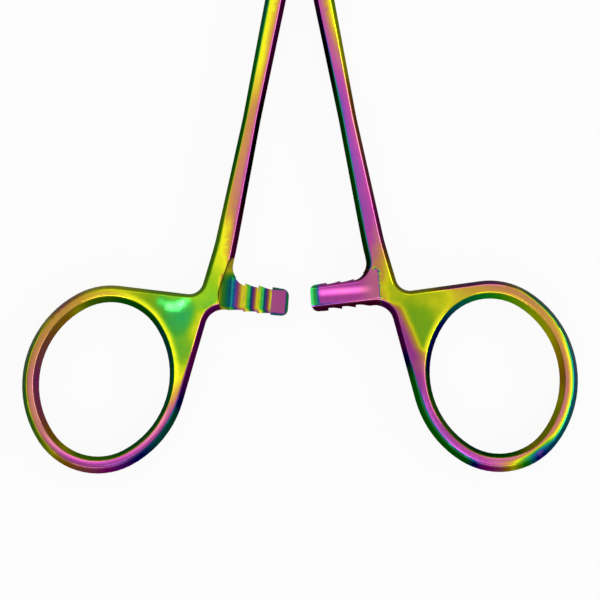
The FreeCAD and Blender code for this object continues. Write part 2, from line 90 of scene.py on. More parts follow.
def add_node(tree: bpy.types.NodeTree, kind: str,
             inputs: dict[str | int, Any] | None = None,
             **settings: Any) -> bpy.types.Node:
    """Add a node with its settings, its values and its links.

    Args:
        tree: Node tree that takes the node.
        kind: Blender's name of the node type.
        inputs: Values or output sockets by the input's name or number.
        settings: Properties of the node itself.

    Returns:
        The new node.
    """
    node = tree.nodes.new(kind)
    for name, setting in settings.items():
        setattr(node, name, setting)
    for place, given in (inputs or {}).items():
        if isinstance(given, bpy.types.NodeSocket):
            tree.links.new(given, node.inputs[place])
        else:
            node.inputs[place].default_value = given
    return node


def write_coat_and_shade(mesh: bpy.types.Mesh, films: list[float], shades: list[float]) -> None:
    """Give a mesh the film and shade of each of its corners.

    Args:
        mesh: Mesh that takes the two attributes.
        films: Turns of the colour series, one for each corner.
        shades: Brightness, one for each corner: painted shade and painted highlights.
    """
    for name, values in (("film", films), ("shade", shades)):
        layer = mesh.attributes.new(name, "FLOAT", "CORNER")
        layer.data.foreach_set("value", values)


def finished(mesh: bpy.types.Mesh, steel: bpy.types.Material, body: str,
             node: str) -> bpy.types.Object:
    """Make a mesh a finished piece that stands for a solid.

    Args:
        mesh: Coated mesh, which gives the piece its name.
        steel: The coated steel.
        body: Body that the piece moves with.
        node: Solid that the piece stands for.

    Returns:
        The piece.
    """
    mesh.materials.clear()
    mesh.materials.append(steel)
    piece = bpy.data.objects.new(mesh.name, mesh)
    bpy.context.scene.collection.objects.link(piece)
    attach(piece, body)
    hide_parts(node)
    return piece


class Film(Enum):
    """Interference colours of the coating, in their order as the film thickens.

    Each is its place in one full turn of the series and its colour.
    """

    YELLOW = (0.00, "#F7F224")
    GOLD = (0.08, "#DDB03C")
    COPPER = (0.16, "#D28E5A")
    ROSE = (0.24, "#CB7489")
    MAGENTA = (0.33, "#C04CA6")
    VIOLET = (0.43, "#8C50B4")
    BLUE = (0.53, "#26489C")
    SEA = (0.61, "#137A86")
    EMERALD = (0.70, "#1F9A55")
    GREEN = (0.80, "#4FB034")
    LIME = (0.90, "#9ACB1E")
    YELLOW_AGAIN = (1.00, "#F7F224")


@dataclass(frozen=True)
class RainbowSteel:
    """Stainless steel, polished to a mirror and coated with a thin oxide film.

    The film colours the reflections themselves, so the whole colour is in the metal's
    reflectance. Where its thickness drifts, the colour runs through the rainbow. Each
    corner's shade scales it, which paints shade on the walls and highlights on bright marks.
    """

    name: str = "rainbow_oxide_on_polished_steel"
    roughness: float = 0.15
    roughness_spread: float = 0.06
    # Coated steel doesn't whiten where it is seen along its surface
    edge_reflection: float = 0.36
    # How far the thickness drifts in broad clouds and in fine ones, in turns
    cloud_mm: float = 5.0
    cloud_drift: float = 0.035
    fine_mm: float = 0.9
    fine_drift: float = 0.008
    # Buffing leaves a faint waviness, drawn coarser than the real one so that it shows
    buff_mm: float = 1.6
    buff_height_mm: float = 0.004
    shade_spread: float = 0.06

    def material(self) -> bpy.types.Material:
        """Build the finish from the film and shade that each corner carries.

        Returns:
            The material.
        """
        material = bpy.data.materials.new(self.name)
        material.use_nodes = True
        tree = material.node_tree
        tree.nodes.clear()
        place = add_node(tree, "ShaderNodeTexCoord").outputs["Object"]
        film = add_node(tree, "ShaderNodeAttribute", attribute_name="film").outputs["Fac"]
        shade = add_node(tree, "ShaderNodeAttribute", attribute_name="shade").outputs["Fac"]
        cloud = add_node(tree, "ShaderNodeTexNoise", {
            "Vector": place, "Scale": 1 / (self.cloud_mm * MM), "Detail": 2.0,
            "Roughness": 0.45})
        fine = add_node(tree, "ShaderNodeTexNoise", {
            "Vector": place, "Scale": 1 / (self.fine_mm * MM), "Detail": 3.0,
            "Roughness": 0.5})
        drift = add_node(tree, "ShaderNodeMath", {
            0: cloud.outputs["Fac"], 1: 2 * self.cloud_drift, 2: film},
            operation="MULTIPLY_ADD")
        drift = add_node(tree, "ShaderNodeMath", {
            0: fine.outputs["Fac"], 1: 2 * self.fine_drift, 2: drift.outputs[0]},
            operation="MULTIPLY_ADD")
        centred = add_node(tree, "ShaderNodeMath", {
            0: drift.outputs[0], 1: self.cloud_drift + self.fine_drift}, operation="SUBTRACT")
        turn = add_node(tree, "ShaderNodeMath", {0: centred.outputs[0]}, operation="FRACT")
        ramp = add_node(tree, "ShaderNodeValToRGB", {"Fac": turn.outputs[0]})
        stops = ramp.color_ramp.elements
        for colour, stop in zip((Film.YELLOW, Film.YELLOW_AGAIN), stops):
            stop.position, stop.color = colour.value[0], linear(colour.value[1])
        for colour in list(Film)[1:-1]:
            stop = stops.new(colour.value[0])
            stop.color = linear(colour.value[1])
        lively = add_node(tree, "ShaderNodeMapRange", {
            "Value": fine.outputs["Fac"], "From Min": 0.25, "From Max": 0.75,
            "To Min": 1 - self.shade_spread, "To Max": 1.0 + self.shade_spread / 2})
        # Each corner's shade paints its shade and highlights into the colour
        strength = add_node(tree, "ShaderNodeMath", {
            0: shade, 1: lively.outputs["Result"]}, operation="MULTIPLY")
        shaded = add_node(tree, "ShaderNodeVectorMath", {
            0: ramp.outputs["Color"], "Scale": strength.outputs[0]}, operation="SCALE")
        capped = add_node(tree, "ShaderNodeVectorMath", {
            0: shaded.outputs[0], 1: (1.0, 1.0, 1.0)}, operation="MINIMUM")
        worn = add_node(tree, "ShaderNodeMapRange", {
            "Value": fine.outputs["Fac"], "From Min": 0.3, "From Max": 0.7,
            "To Min": self.roughness - self.roughness_spread / 2,
            "To Max": self.roughness + self.roughness_spread / 2})
        buffed = add_node(tree, "ShaderNodeTexNoise", {
            "Vector": place, "Scale": 1 / (self.buff_mm * MM), "Detail": 1.0})
        bump = add_node(tree, "ShaderNodeBump", {
            "Height": buffed.outputs["Fac"], "Distance": self.buff_height_mm * MM,
            "Strength": 1.0})
        shader = add_node(tree, "ShaderNodeBsdfPrincipled", {
            "Base Color": capped.outputs[0], "Metallic": 1.0,
            "Specular Tint": (*[self.edge_reflection] * 3, 1.0),
            "Roughness": worn.outputs["Result"], "Normal": bump.outputs["Normal"]})
        add_node(tree, "ShaderNodeOutputMaterial", {"Surface": shader.outputs["BSDF"]})
        return material


@dataclass(frozen=True)
class Coat:
    """Coating at one spot: turns of the colour series, and how bright it reflects, which
    paints shade on walls and highlights on bright marks.
    """

    film: float
    shade: float

    def toward(self, other: "Coat", share: float) -> "Coat":
        """Coating between this one and another."""
        return Coat(mix(self.film, other.film, share), mix(self.shade, other.shade, share))


@dataclass(frozen=True)
class Station:
    """Coating across the forging at one place: the outer and inner facet and wall, whose low
    wall shades are painted shade.
    """

    at: float
    facet_out: Coat
    facet_in: Coat
    wall_out: Coat
    wall_in: Coat


def stations(*rows: tuple[float, ...]) -> tuple[Station, ...]:
    """Stations from rows of a place and four pairs of film and shade."""
    return tuple(Station(row[0], *(Coat(*row[place:place + 2]) for place in (1, 3, 5, 7)))
                 for row in rows)


def station_at(course: Sequence[Station], at: float) -> Station:
    """Coating between the stations of a course.

    Args:
        course: Stations in rising order.
        at: Place along the course.

    Returns:
        The station that would stand there.
    """
    if at <= course[0].at:
        return course[0]
    for before, after in zip(course, course[1:]):
        if at <= after.at:
            share = (at - before.at) / (after.at - before.at)
            return Station(at, before.facet_out.toward(after.facet_out, share),
                           before.facet_in.toward(after.facet_in, share),
                           before.wall_out.toward(after.wall_out, share),
                           before.wall_in.toward(after.wall_in, share))
    return course[-1]


@dataclass(frozen=True)
class TintAndHighlightPatch:
    """Patch of the facets with a coating of its own; the brightest ones are painted
    highlights.

    It lies round a point, or round the line from there to its far end.
    """

    out: float
    down: float
    radius: float
    coat: Coat
    weight: float = 1.0
    far_end: tuple[float, float] | None = None

    def away(self, spot: "Spot") -> float:
        """Distance of a corner from the patch's point or line.

        Args:
            spot: The corner.

        Returns:
            The distance in mm.
        """
        off_out, off_down = spot.out - self.out, spot.down - self.down
        if self.far_end is None:
            return math.hypot(off_out, off_down)
        long_out, long_down = self.far_end[0] - self.out, self.far_end[1] - self.down
        share = ((off_out * long_out + off_down * long_down)
                 / (long_out * long_out + long_down * long_down))
        share = min(1.0, max(0.0, share))
        return math.hypot(off_out - share * long_out, off_down - share * long_down)


@dataclass
class Spot:
    """One corner of the mesh as its half lies when closed, in mm."""

    out: float
    down: float
    height: float
    lean_out: float
    lean_up: float
    upright: float


@dataclass
class Forging:
    """One half of the forceps: jaw, lock, shank, ratchet arm and finger ring."""

    node: str = ""
    body: str = ""
    piece: str = ""
    side: int = 1
    rest_turn: float = 4.4
    ring_out: float = 24.06
    ring_down: float = 75.4
    ring_tilt: float = 9.8
    ring_band: float = 2.6
    ring_half_width: float = 9.85
    ring_half_height: float = 11.9
    arm_down: float = 59.5
    arm_width: float = 4.25
    arm_reach: float = 3.0
    # The arm's zone: how far out it starts, and how far it reaches above and below
    arm_zone: tuple[float, float, float] = (7.6, 1.5, 5.5)
    lock_thickness: float = 4.6
    # Middle of the shank and half its facet: down, out, half width
    spine: tuple[tuple[float, float, float], ...] = (
        (-36.5, -0.55, 0.4), (-9.0, -1.15, 0.9), (-4.5, 0.0, 3.6), (4.5, 0.0, 3.6),
        (8.4, 1.8, 1.4), (16.5, 2.81, 1.0), (33.5, 4.7, 0.9), (53.5, 7.2, 1.1),
        (60.0, 8.4, 1.6))
    shank: tuple[Station, ...] = ()
    ring: tuple[Station, ...] = ()
    tints_and_highlights: tuple[TintAndHighlightPatch, ...] = ()
    # Cells: along the shank, on the arm, round the ring in degrees, up the edges, in
    # the web and over the ring's facet
    cell: float = 0.8
    arm_cell: float = 0.22
    ring_step: float = 3.0
    edge_cell: float = 0.1
    web_cell: float = 0.45
    band_cell: float = 0.4
    edge_depth: float = 1.0
    # Zones of those cells: jaw tip to ring, the lock, and the web up to the ring's side
    jaw_down: float = -37.0
    low_down: float = 76.0
    side_out: float = 20.0
    lock_down: float = 13.0
    lock_out: float = 6.0
    web_out: float = 7.0
    web_down: float = 54.0
    # How upright a normal is on a flat face, on a dished one and on a wall
    flat: float = 0.98
    dished: tuple[float, float] = (0.9, 0.99)
    # Over an outer edge the film changes first, over the finger hole's edge last; the shade
    # falls from the facet's to the wall's painted shade
    ridge_film: tuple[float, float] = (1.0, 0.74)
    ridge_shade: tuple[float, float] = (0.9, 0.6)
    hole_film: tuple[float, float] = (0.82, 0.5)
    hole_shade: tuple[float, float] = (0.93, 0.6)
    outer_shade: tuple[float, float] = (0.9, 0.6)
    # Where the outer coating takes over from the inner one, across a facet and a wall
    shank_step: tuple[float, float] = (-1.0, 1.0)
    wall_step: float = 0.2
    ring_wall_step: float = 0.15
    ring_step_over: tuple[float, float] = (-0.5, 0.8)
    # The ring's coating belongs this far down and this near its middle, fades in over
    # these distances from its band, and is laid out in this share of the band
    ring_starts: float = 50.0
    ring_near: float = 30.0
    ring_fade: tuple[float, float] = (2.6, 0.2)
    band_share: float = 0.28
    # The wall turns from outer to upper where the shank widens into the web
    shoulder: tuple[float, float] = (53.0, 56.0)
    # Low on the ring the wall's film and painted shade reach over the facet's rim, behind a
    # painted highlight line
    rim_from: float = 203.0
    rim_span: float = 118.0
    rim_fade: tuple[float, float] = (12.0, 15.0)
    rim_step: tuple[float, float] = (0.3, 1.0)
    glint_across: float = -0.5
    glint_width: float = 0.55
    glint: float = 1.0
    # The edge of the finger hole leans between these, and is rounded over
    soft_edge: tuple[float, float] = (0.4, 0.93)
    soft_reach: float = 0.8
    # Dish of the web: its middle, its size, and where the web begins
    dish_out: float = 12.9
    dish_down: float = 65.2
    dish_radius: float = 4.4
    dish_depth: float = 0.45
    dish_from: float = 8.2

    def make(self, steel: bpy.types.Material) -> bpy.types.Object:
        """Build the half's piece and give it its coating.

        Args:
            steel: The coated steel.

        Returns:
            The finished piece.
        """
        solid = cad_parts[self.node].data.copy()
        carried = solid.attributes.new("lean", "FLOAT_VECTOR", "CORNER")
        carried.data.foreach_set("vector", [
            part for corner in solid.corner_normals for part in corner.vector])
        shape = bmesh.new()
        shape.from_mesh(solid)
        bpy.data.meshes.remove(solid)
        bmesh.ops.remove_doubles(shape, verts=shape.verts, dist=1e-4 * MM)
        lean = shape.loops.layers.float_vector["lean"]
        self.round_hole_edge(shape, lean)
        self.slice_cells(shape)
        self.dish_web(shape, lean)
        for face in shape.faces:
            face.smooth = True
        mesh = bpy.data.meshes.new(self.piece)
        shape.to_mesh(mesh)
        shape.free()
        leans = [Vector(item.vector).normalized() for item in mesh.attributes["lean"].data]
        mesh.attributes.remove(mesh.attributes["lean"])
        mesh.normals_split_custom_set(leans)
        self.paint(mesh, leans)
        return finished(mesh, steel, self.body, self.node)

    def closed(self, place: Vector, lean: Vector) -> Spot:
        """Read a corner of the rest pose as the half lies when closed.

        Args:
            place: Position in metres.
            lean: Normal there.

        Returns:
            The corner in mm, outwards and down from the pivot.
        """
        turn = math.radians(-self.side * self.rest_turn)
        cosine, sine = math.cos(turn), math.sin(turn)
        return Spot(self.side * (place.x * cosine - place.y * sine) / MM,
                    -(place.x * sine + place.y * cosine) / MM, place.z / MM,
                    self.side * (lean.x * cosine - lean.y * sine),
                    lean.x * sine + lean.y * cosine, lean.z)

    def placed(self, out: float, down: float) -> Vector:
        """Point of the rest pose from a place on the closed half.

        Args:
            out: Distance outwards in mm.
            down: Distance down in mm.

        Returns:
            The point in metres, at the underside.
        """
        turn = math.radians(self.side * self.rest_turn)
        across, up = self.side * out * MM, -down * MM
        return Vector((across * math.cos(turn) - up * math.sin(turn),
                       across * math.sin(turn) + up * math.cos(turn), 0.0))

    def round_hole_edge(self, shape: bmesh.types.BMesh, lean: bmesh.types.BMLayerItem) -> None:
        """Let the narrow slope round the finger hole shade like a rounded edge.

        Args:
            shape: Merged mesh of the half.
            lean: Layer that holds each corner's normal.
        """
        low, high = self.soft_edge
        slopes = set()
        for face in shape.faces:
            middle = face.calc_center_median()
            for loop in face.loops:
                spot = self.closed(middle, loop[lean])
                inward = (spot.lean_out * (self.ring_out - spot.out)
                          + spot.lean_up * (spot.down - self.ring_down))
                if (low < abs(spot.upright) < high and inward > 0
                        and self.in_ring(spot, self.soft_reach)):
                    slopes.add(loop)
        for loop in slopes:
            others = [near[lean] for near in loop.vert.link_loops if near not in slopes]
            if others:
                loop[lean] = sum(others, Vector()).normalized()

    def slice_cells(self, shape: bmesh.types.BMesh) -> None:
        """Cut the long faces into cells, finer where the coating changes fast.

        Args:
            shape: Merged mesh of the half.
        """
        turn = math.radians(self.side * self.rest_turn)
        along = Vector((math.cos(turn), math.sin(turn), 0.0))
        down = Vector((-math.sin(turn), math.cos(turn), 0.0))
        self.slice(shape, lambda spot: spot.out < self.side_out and spot.down < self.low_down,
                   [(self.placed(0, self.jaw_down + step * self.cell), down)
                    for step in range(int((self.low_down - self.jaw_down) / self.cell))])
        self.slice(shape, lambda spot: abs(spot.down) < self.lock_down,
                   [(self.placed(step * self.cell - self.lock_out, 0), along)
                    for step in range(int(2 * self.lock_out / self.cell))])
        first = self.web_out + 1
        steps = [step * self.web_cell
                 for step in range(int((self.side_out - first) / self.web_cell))]
        self.slice(shape, lambda spot: (self.web_out < spot.out < self.side_out
                                        and self.web_down < spot.down < self.low_down),
                   [*((self.placed(first + step, 0), along) for step in steps),
                    *((self.placed(0, self.web_down + 2 * step), down) for step in steps)])
        centre = self.placed(self.ring_out, self.ring_down)
        self.slice(shape, lambda spot: self.in_ring(spot, 0.4),
                   [(centre, Vector((math.cos(angle), math.sin(angle), 0.0)))
                    for angle in (math.radians(step * self.ring_step)
                                  for step in range(int(180 / self.ring_step)))])
        reach = self.ring_half_height + self.ring_band + 0.5
        lines = [step * self.band_cell - reach
                 for step in range(int(2 * reach / self.band_cell))]
        self.slice(shape, lambda spot: (self.in_ring(spot, 0.2)
                                        and abs(spot.upright) > self.flat),
                   [*((self.placed(self.ring_out + line, 0), along) for line in lines),
                    *((self.placed(0, self.ring_down + line), down) for line in lines)])
        edges = [step * self.edge_cell
                 for step in range(1, int(self.edge_depth / self.edge_cell))]
        self.slice(shape, lambda spot: abs(spot.upright) < self.flat,
                   [(Vector((0, 0, height * MM)), Vector((0, 0, 1)))
                    for height in (*edges, *(self.lock_thickness - edge for edge in edges))])
        self.slice(shape, self.on_arm,
                   [(self.placed((step + 0.5) * self.arm_cell - self.arm_reach, 0), along)
                    for step in range(int((self.arm_reach + 8.0) / self.arm_cell))])
        self.slice(shape, self.on_arm,
                   [(self.placed(0, self.arm_down + (step + 0.5) * self.arm_cell), down)
                    for step in range(int(self.arm_width / self.arm_cell))])

    def slice(self, shape: bmesh.types.BMesh, chosen: Callable[[Spot], bool],
              planes: list[tuple[Vector, Vector]]) -> None:
        """Cut some faces along planes.

        Args:
            shape: Mesh that is cut.
            chosen: Says of a face's middle whether the face is cut.
            planes: A point and a normal for each plane.
        """
        faces = [face for face in shape.faces
                 if chosen(self.closed(face.calc_center_median(), face.normal))]
        geometry = list({*faces, *(edge for face in faces for edge in face.edges),
                         *(vert for face in faces for vert in face.verts)})
        for point, normal in planes:
            geometry = bmesh.ops.bisect_plane(shape, geom=geometry, plane_co=point,
                                              plane_no=normal, dist=1e-3 * MM)["geom"]

    def oval(self, angle: float) -> float:
        """Radius of the finger hole in a direction from its middle.

        Args:
            angle: Direction in radians, from outwards.

        Returns:
            The radius in mm.
        """
        local = angle - math.radians(self.ring_tilt)
        return (self.ring_half_width * self.ring_half_height
                / math.hypot(self.ring_half_height * math.cos(local),
                             self.ring_half_width * math.sin(local)))

    def in_ring(self, spot: Spot, beyond: float) -> bool:
        """Whether a spot lies in the ring's band or a little outside it.

        Args:
            spot: The spot.
            beyond: How far outside the band it may lie, in mm.

        Returns:
            True where it does.
        """
        off_out, off_up = spot.out - self.ring_out, self.ring_down - spot.down
        away = math.hypot(off_out, off_up)
        return away < self.oval(math.atan2(off_up, off_out)) + self.ring_band + beyond

    def on_arm(self, spot: Spot) -> bool:
        """Whether a corner lies on the ratchet arm."""
        out, above, below = self.arm_zone
        return spot.out < out and self.arm_down - above < spot.down < self.arm_down + below

    def dish_web(self, shape: bmesh.types.BMesh, lean: bmesh.types.BMLayerItem) -> None:
        """Press a shallow dish into both faces of the web.

        Args:
            shape: Mesh in cells.
            lean: Layer that holds each corner's normal.
        """
        middle = self.lock_thickness / 2
        centre = self.placed(self.dish_out, self.dish_down)
        for vertex in shape.verts:
            off = (vertex.co - centre) / MM
            off.z = 0.0
            share = 1 - off.length / self.dish_radius
            if share <= 0 or self.closed(vertex.co, vertex.normal).out < self.dish_from:
                continue
            flat = ease(max(abs(loop[lean].z) for loop in vertex.link_loops), *self.dished)
            depth = self.dish_depth * share * share * (3 - 2 * share) * flat
            slope = 6 * share * (1 - share) * self.dish_depth / self.dish_radius
            for loop in vertex.link_loops:
                if abs(loop[lean].z) > self.dished[0]:
                    loop[lean] = (loop[lean] - off.normalized() * slope).normalized()
            vertex.co.z += depth * MM * (-1 if vertex.co.z > middle * MM else 1)

    def paint(self, mesh: bpy.types.Mesh, leans: list[Vector]) -> None:
        """Write the coating's film and shade to every corner of the mesh.

        Args:
            mesh: Mesh of the half.
            leans: Normal of each corner.
        """
        points = [vertex.co.copy() for vertex in mesh.vertices]
        coats = [self.coat(self.closed(points[loop.vertex_index], lean))
                 for loop, lean in zip(mesh.loops, leans)]
        write_coat_and_shade(mesh, [coat.film for coat in coats], [coat.shade for coat in coats])

    def coat(self, spot: Spot) -> Coat:
        """Coating of one corner.

        Args:
            spot: The corner on the closed half.

        Returns:
            Its film and shade.
        """
        if self.on_arm(spot):
            return self.arm_coat(spot)
        shank = self.shank_coat(spot)
        off_out, off_up = spot.out - self.ring_out, self.ring_down - spot.down
        away = math.hypot(off_out, off_up)
        if spot.down < self.ring_starts or away > self.ring_near:
            return self.with_tints_and_highlights(shank, spot)
        angle = math.atan2(off_up, off_out)
        oval = self.oval(angle)
        across = (away - oval - self.ring_band / 2) / (self.ring_band * self.band_share)
        bearing = (math.degrees(angle) + self.rest_turn) % 360
        here = station_at(self.ring, bearing)
        radial = spot.lean_out * math.cos(angle) + spot.lean_up * math.sin(angle)
        facet = here.facet_in.toward(here.facet_out, ease(across, *self.ring_step_over))
        # Low on the ring the wall's film and painted shade spread over the facet's rim
        past = (bearing - self.rim_from) % 360
        low = (ease(past, 0, self.rim_fade[0])
               * ease(past, self.rim_span, self.rim_span - self.rim_fade[1]))
        facet = facet.toward(here.wall_out, low * ease(across, *self.rim_step))
        # A painted highlight line along the facet, low on the ring
        glint = low * ease(abs(across - self.glint_across), self.glint_width, 0.0)
        facet = Coat(facet.film, facet.shade * (1 + self.glint * glint))
        rim = here.wall_in.toward(here.wall_out, ease(radial, -self.ring_wall_step,
                                                      self.ring_wall_step))
        share = ease(away - oval - self.ring_band, *self.ring_fade)
        if radial < 0 and away < oval + self.ring_band / 2:
            ring = self.over_edge(facet, rim, spot, self.hole_film, self.hole_shade)
        else:
            ring = self.over_edge(facet, rim, spot, self.ridge_film, self.outer_shade)
        return self.with_tints_and_highlights(shank.toward(ring, share), spot)

    def over_edge(self, facet: Coat, flank: Coat, spot: Spot, film: tuple[float, float],
                  shade: tuple[float, float]) -> Coat:
        """Coating over the edge between a facet and a wall, with the shade falling to the
        wall's painted shade.

        Args:
            facet: Coating of the facet.
            flank: Coating of the wall.
            spot: The corner.
            film: How upright it is where the film leaves one and reaches the other.
            shade: The same for the shade.

        Returns:
            The coating of the corner.
        """
        lean = abs(spot.upright)
        return Coat(mix(facet.film, flank.film, ease(lean, *film)),
                    mix(facet.shade, flank.shade, ease(lean, *shade)))

    def shank_coat(self, spot: Spot) -> Coat:
        """Coating of a corner as part of the jaw, lock or shank.

        Args:
            spot: The corner.

        Returns:
            Its coating, before any patch.
        """
        here = station_at(self.shank, spot.down)
        middle, half = self.spine[-1][1:]
        for before, after in zip(self.spine, self.spine[1:]):
            if spot.down <= after[0]:
                share = max(0.0, (spot.down - before[0]) / (after[0] - before[0]))
                middle, half = mix(before[1], after[1], share), mix(before[2], after[2], share)
                break
        outward = 1 if spot.down > 0 else -1
        across = outward * (spot.out - middle) / half
        lean = outward * spot.lean_out + ease(spot.down, *self.shoulder) * spot.lean_up
        facet = here.facet_in.toward(here.facet_out, ease(across, *self.shank_step))
        # The walls carry painted shade, darker than the facets
        flank = here.wall_in.toward(here.wall_out,
                                    ease(lean, -self.wall_step, self.wall_step))
        shade = self.outer_shade if lean > 0 else self.ridge_shade
        return self.over_edge(facet, flank, spot, self.ridge_film, shade)

    def with_tints_and_highlights(self, coat: Coat, spot: Spot) -> Coat:
        """Lay the patches of film and painted highlight over a coating, away from the walls.

        Args:
            coat: Coating so far.
            spot: The corner.

        Returns:
            The coating with the patches.
        """
        flat = ease(abs(spot.upright), *reversed(self.ridge_shade))
        for tint_and_highlight in self.tints_and_highlights:
            share = tint_and_highlight.weight * ease(tint_and_highlight.away(spot), tint_and_highlight.radius, 0.0) * flat
            coat = coat.toward(tint_and_highlight.coat, share)
        return coat

    def arm_coat(self, spot: Spot) -> Coat:
        """Coating of a corner of the ratchet arm, which each half has in its own way."""
        raise NotImplementedError


@dataclass
class BoxHalf(Forging):
    """Half with the box: its ring is on the left, and its teeth face the front."""

    node: str = "female_half"
    body: str = "box_side"
    piece: str = "box_half_polished"
    side: int = -1
    tooth_pitch: float = 2.1
    first_tooth: float = -0.4
    recess_out: float = 7.95
    shank_step: tuple[float, float] = (-1.1, 0.1)
    shank: tuple[Station, ...] = field(default_factory=lambda: stations(
        (-36.5, 1.32, 0.85, 1.24, 0.85, 0.62, 0.45, 1.45, 0.35),
        (-22.0, 1.10, 0.95, 1.04, 0.95, 0.70, 0.40, 1.40, 0.30),
        (-10.0, 0.98, 1.00, 0.98, 1.00, 0.80, 0.40, 1.20, 0.35),
        (-3.0, 0.88, 0.90, 0.88, 0.90, 0.90, 0.40, 0.90, 0.40),
        (4.0, 0.93, 0.95, 0.96, 0.95, 0.90, 0.40, 0.90, 0.40),
        (9.0, 0.97, 1.00, 1.06, 0.95, 0.72, 0.40, 1.30, 0.20),
        (15.3, 0.985, 1.05, 1.22, 0.95, 0.66, 0.38, 1.34, 0.14),
        (24.0, 1.00, 1.05, 1.24, 0.90, 0.74, 0.34, 1.34, 0.12),
        (29.0, 1.05, 0.98, 1.26, 0.88, 0.78, 0.28, 1.34, 0.09),
        (32.5, 1.13, 0.92, 1.28, 0.85, 0.80, 0.24, 1.34, 0.05),
        (38.0, 1.15, 0.95, 1.30, 0.85, 0.80, 0.22, 1.35, 0.04),
        (44.0, 1.17, 0.95, 1.30, 0.85, 0.84, 0.26, 1.35, 0.04),
        (48.0, 1.13, 0.92, 1.30, 0.80, 0.87, 0.34, 1.33, 0.07),
        (51.0, 1.00, 1.00, 1.28, 0.80, 0.87, 0.36, 1.32, 0.12),
        (54.5, 0.98, 1.00, 1.16, 0.85, 0.84, 0.36, 1.30, 0.14),
        (58.0, 0.93, 0.95, 0.97, 0.95, 0.84, 0.38, 1.30, 0.14),
        (62.0, 0.86, 1.05, 0.95, 1.00, 0.88, 0.45, 1.36, 0.18),
        (66.0, 0.80, 0.95, 0.99, 0.95, 0.90, 0.45, 1.38, 0.18)))
    ring: tuple[Station, ...] = field(default_factory=lambda: stations(
        (0.0, 1.17, 0.46, 1.20, 0.90, 0.80, 0.28, 1.28, 0.28),
        (30.0, 1.14, 0.60, 1.14, 0.75, 0.84, 0.26, 1.20, 0.24),
        (60.0, 1.12, 0.65, 1.10, 0.66, 1.20, 0.30, 1.08, 0.26),
        (80.0, 1.06, 0.66, 1.08, 0.74, 1.02, 0.32, 0.88, 0.20),
        (95.0, 1.00, 0.62, 1.05, 0.88, 0.97, 0.36, 0.84, 0.18),
        (115.0, 0.93, 0.60, 0.99, 1.10, 0.92, 0.42, 0.74, 0.22),
        (140.0, 0.78, 0.85, 0.98, 1.15, 0.86, 0.45, 0.64, 0.28),
        (165.0, 0.86, 0.85, 0.98, 1.15, 1.32, 0.20, 0.64, 0.30),
        (182.0, 1.02, 0.90, 1.00, 1.15, 1.38, 0.18, 0.66, 0.32),
        (194.0, 1.16, 0.85, 1.10, 1.15, 1.46, 0.16, 0.68, 0.30),
        (206.0, 1.28, 0.70, 1.24, 1.00, 1.64, 0.26, 0.70, 0.24),
        (230.0, 1.36, 0.50, 1.28, 0.80, 1.64, 0.30, 0.74, 0.22),
        (250.0, 1.42, 0.45, 1.31, 0.72, 1.48, 0.26, 0.72, 0.24),
        (270.0, 1.40, 0.50, 1.35, 0.72, 1.32, 0.32, 0.86, 0.26),
        (290.0, 1.36, 0.50, 1.31, 0.78, 1.16, 0.34, 0.90, 0.24),
        (310.0, 1.26, 0.48, 1.24, 0.85, 0.94, 0.34, 1.10, 0.24),
        (332.0, 1.17, 0.45, 1.19, 0.92, 0.82, 0.32, 1.24, 0.28),
        (360.0, 1.17, 0.46, 1.20, 0.90, 0.80, 0.28, 1.28, 0.28)))
    # Patches of film on the web, and along its upper side a painted highlight crescent
    tints_and_highlights: tuple[TintAndHighlightPatch, ...] = (
        TintAndHighlightPatch(10.9, 61.2, 3.4, Coat(0.89, 1.1), 0.9),
        TintAndHighlightPatch(12.9, 65.2, 3.6, Coat(0.73, 1.15), 1.0),
        TintAndHighlightPatch(10.2, 64.6, 1.7, Coat(1.00, 0.8), 0.8, (11.3, 68.6)),
        TintAndHighlightPatch(16.2, 63.1, 1.5, Coat(0.72, 1.5), 0.7, (14.8, 63.8)),
        TintAndHighlightPatch(14.8, 63.8, 1.6, Coat(0.72, 1.7), 0.7, (12.7, 62.8)),
        TintAndHighlightPatch(16.4, 63.1, 0.8, Coat(0.76, 2.6), 0.7, (15.2, 63.6)),
        TintAndHighlightPatch(15.0, 63.7, 0.9, Coat(0.76, 9.0), 0.75, (13.8, 63.7)),
        TintAndHighlightPatch(13.7, 63.6, 0.9, Coat(0.75, 4.0), 0.7, (12.5, 62.5)),
        TintAndHighlightPatch(12.3, 69.0, 2.2, Coat(0.84, 0.9), 0.8))
    ridge_shade: tuple[float, float] = (0.96, 0.62)
    outer_shade: tuple[float, float] = (0.995, 0.8)
    # Faces and walls of the milled arm; the walls, the tooth fronts and the block's rim carry
    # painted shade
    milled_down: float = 53.0
    back_depth: float = 1.2
    front_face: Coat = Coat(1.10, 0.7)
    front_wall: Coat = Coat(1.25, 0.16)
    back_face: Coat = Coat(1.36, 0.5)
    back_wall: Coat = Coat(0.86, 0.22)
    block_face: Coat = Coat(1.31, 0.62)
    block_rim: Coat = Coat(1.72, 0.34)
    block_wall: Coat = Coat(1.76, 0.12)
    block_top: Coat = Coat(1.70, 0.3)
    tooth_front: Coat = Coat(1.20, 0.12)
    tooth_wall: Coat = Coat(0.98, 0.20)
    arm_top: Coat = Coat(1.06, 0.34)
    # Turns of the series and shade across one tooth, from its tip side; the last stop is the
    # painted shadow at the tooth's step
    stripes: tuple[tuple[float, float, float], ...] = (
        (0.00, 0.02, 0.80), (0.12, 0.03, 0.70), (0.20, 0.14, 0.55), (0.30, 0.26, 0.32),
        (0.38, 0.42, 0.30), (0.48, 0.54, 0.45), (0.60, 0.61, 0.45), (0.74, 0.74, 0.36),
        (0.88, 0.86, 0.32), (0.95, 1.02, 0.32), (1.00, 1.08, 0.10))

    def on_arm(self, spot: Spot) -> bool:
        """Whether a corner lies on the arm or the milled face beside it."""
        milled = (spot.upright > self.dished[0] and spot.down > self.milled_down
                  and spot.height < self.lock_thickness / 2)
        return super().on_arm(spot) or milled

